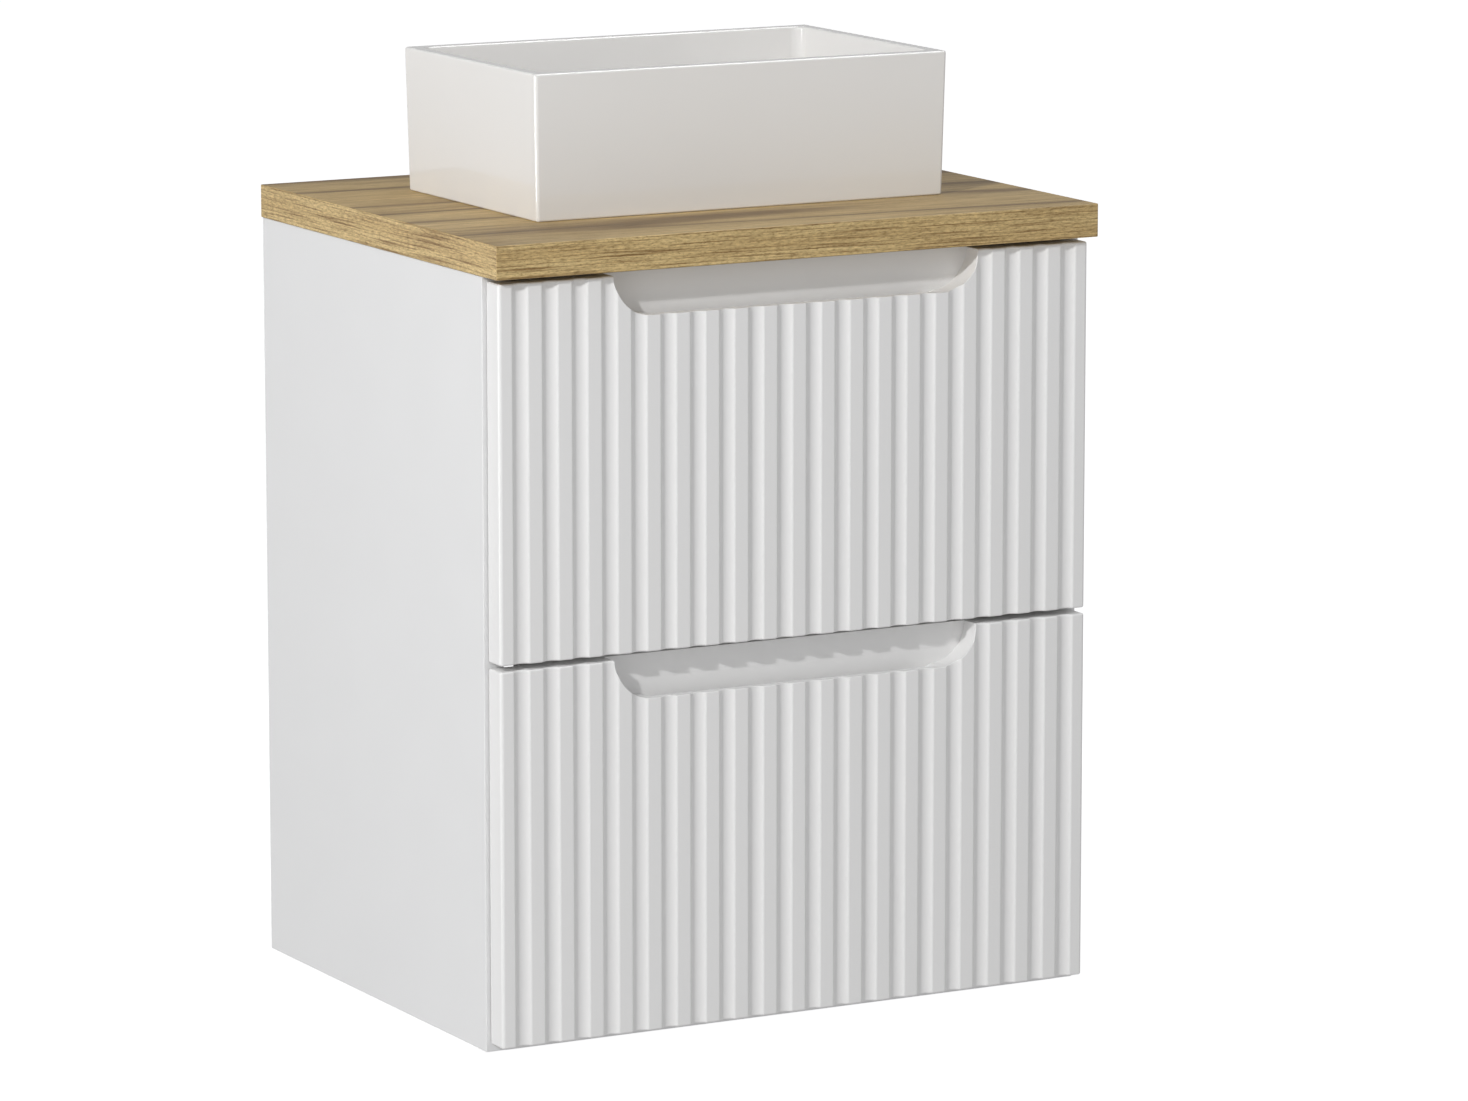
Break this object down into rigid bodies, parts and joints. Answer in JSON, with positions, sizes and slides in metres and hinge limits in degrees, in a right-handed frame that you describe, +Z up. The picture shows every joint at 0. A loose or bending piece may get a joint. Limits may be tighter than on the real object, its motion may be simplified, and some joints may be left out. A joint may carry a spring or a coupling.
{
  "type": "wall-hung washbasin vanity",
  "caption": "Wall-hung vanity with an oak countertop, a rectangular ceramic vessel basin and fluted white drawers with finger cut-outs",
  "frame": {"origin": "in the wall plane, midway between the two wall bolts of the hanging rail", "axes": "+X right as seen from the front, +Y towards the wall, +Z up; the drawers open along -Y"},
  "size_m": [0.5, 0.4, 0.7035],
  "materials": {
    "white_lacquer": "satin lacquered MDF",
    "white_board": "satin white melamine board",
    "drawer_board": "fine-grained pale grey board",
    "oak": "matt natural oak, grain along X",
    "beech": "raw beech",
    "white_ceramic": "glossy white glaze",
    "chrome": "polished",
    "brass_nut": "machined",
    "zinc_plated_steel": "zinc plated",
    "white_plastic": "moulded polypropylene",
    "black_rubber": "matt",
    "clear_rubber": "translucent"
  },
  "bodies": {
    "cabinet": {"basin": "white_ceramic", "carcass_bottom": "white_board", "carcass_dowels": "beech", "carcass_front_stretcher": "white_board", "carcass_rear_bottom_rail": "white_board", "carcass_rear_top_rail": "white_board", "carcass_side_left": "white_board", "carcass_side_right": "white_board", "countertop": "oak", "countertop_screws": "zinc_plated_steel", "hanger_brackets": "zinc_plated_steel", "hanger_screws": "zinc_plated_steel", "lower_runner_cabinet_left": "zinc_plated_steel", "lower_runner_cabinet_right": "zinc_plated_steel", "runner_cabinet_screws": "zinc_plated_steel", "trap_body": "white_plastic", "trap_cup": "white_plastic", "trap_inlet_nut": "white_plastic", "trap_neck_nut": "white_plastic", "trap_outlet_nut": "white_plastic", "trap_tailpiece": "white_plastic", "upper_runner_cabinet_left": "zinc_plated_steel", "upper_runner_cabinet_right": "zinc_plated_steel", "wall_rail": "zinc_plated_steel", "waste_body": "chrome", "waste_lock_nut": "brass_nut", "waste_lower_gasket": "black_rubber", "waste_pipe": "white_plastic", "waste_top_gasket": "black_rubber"},
    "upper_drawer": {"upper_drawer_back_boards": "drawer_board", "upper_drawer_base": "drawer_board", "upper_drawer_box_front": "white_lacquer", "upper_drawer_bumpers": "clear_rubber", "upper_drawer_cutout_front": "drawer_board", "upper_drawer_cutout_left": "drawer_board", "upper_drawer_cutout_right": "drawer_board", "upper_drawer_front": "white_lacquer", "upper_drawer_front_screws": "zinc_plated_steel", "upper_drawer_side_left": "drawer_board", "upper_drawer_side_right": "drawer_board", "upper_runner_drawer_left": "zinc_plated_steel", "upper_runner_drawer_right": "zinc_plated_steel", "upper_runner_drawer_screws": "zinc_plated_steel"},
    "lower_drawer": {"lower_drawer_back": "drawer_board", "lower_drawer_base": "drawer_board", "lower_drawer_box_front": "white_lacquer", "lower_drawer_bumpers": "clear_rubber", "lower_drawer_front": "white_lacquer", "lower_drawer_front_screws": "zinc_plated_steel", "lower_drawer_side_left": "drawer_board", "lower_drawer_side_right": "drawer_board", "lower_runner_drawer_left": "zinc_plated_steel", "lower_runner_drawer_right": "zinc_plated_steel", "lower_runner_drawer_screws": "zinc_plated_steel"},
    "upper_runner_middles": {"upper_runner_middle_left": "zinc_plated_steel", "upper_runner_middle_right": "zinc_plated_steel"},
    "lower_runner_middles": {"lower_runner_middle_left": "zinc_plated_steel", "lower_runner_middle_right": "zinc_plated_steel"},
    "stopper": {"stopper_cap": "chrome", "stopper_seal": "black_rubber"}
  },
  "joints": [
    {"name": "upper_drawer_slide", "type": "slide", "parent": "cabinet", "child": "upper_drawer", "axis": [0, -1, 0], "range_m": [0, 0.3]},
    {"name": "lower_drawer_slide", "type": "slide", "parent": "cabinet", "child": "lower_drawer", "axis": [0, -1, 0], "range_m": [0, 0.3]},
    {"name": "upper_runner_slide", "type": "slide", "parent": "cabinet", "child": "upper_runner_middles", "axis": [0, -1, 0], "range_m": [0, 0.15]},
    {"name": "lower_runner_slide", "type": "slide", "parent": "cabinet", "child": "lower_runner_middles", "axis": [0, -1, 0], "range_m": [0, 0.15]},
    {"name": "stopper_push", "type": "slide", "parent": "cabinet", "child": "stopper", "axis": [0, 0, -1], "range_m": [0, 0.0065]}
  ],
  "couplings": [
    {"joint": "upper_runner_slide", "follows": "upper_drawer_slide", "ratio": 0.5},
    {"joint": "lower_runner_slide", "follows": "lower_drawer_slide", "ratio": 0.5}
  ]
}
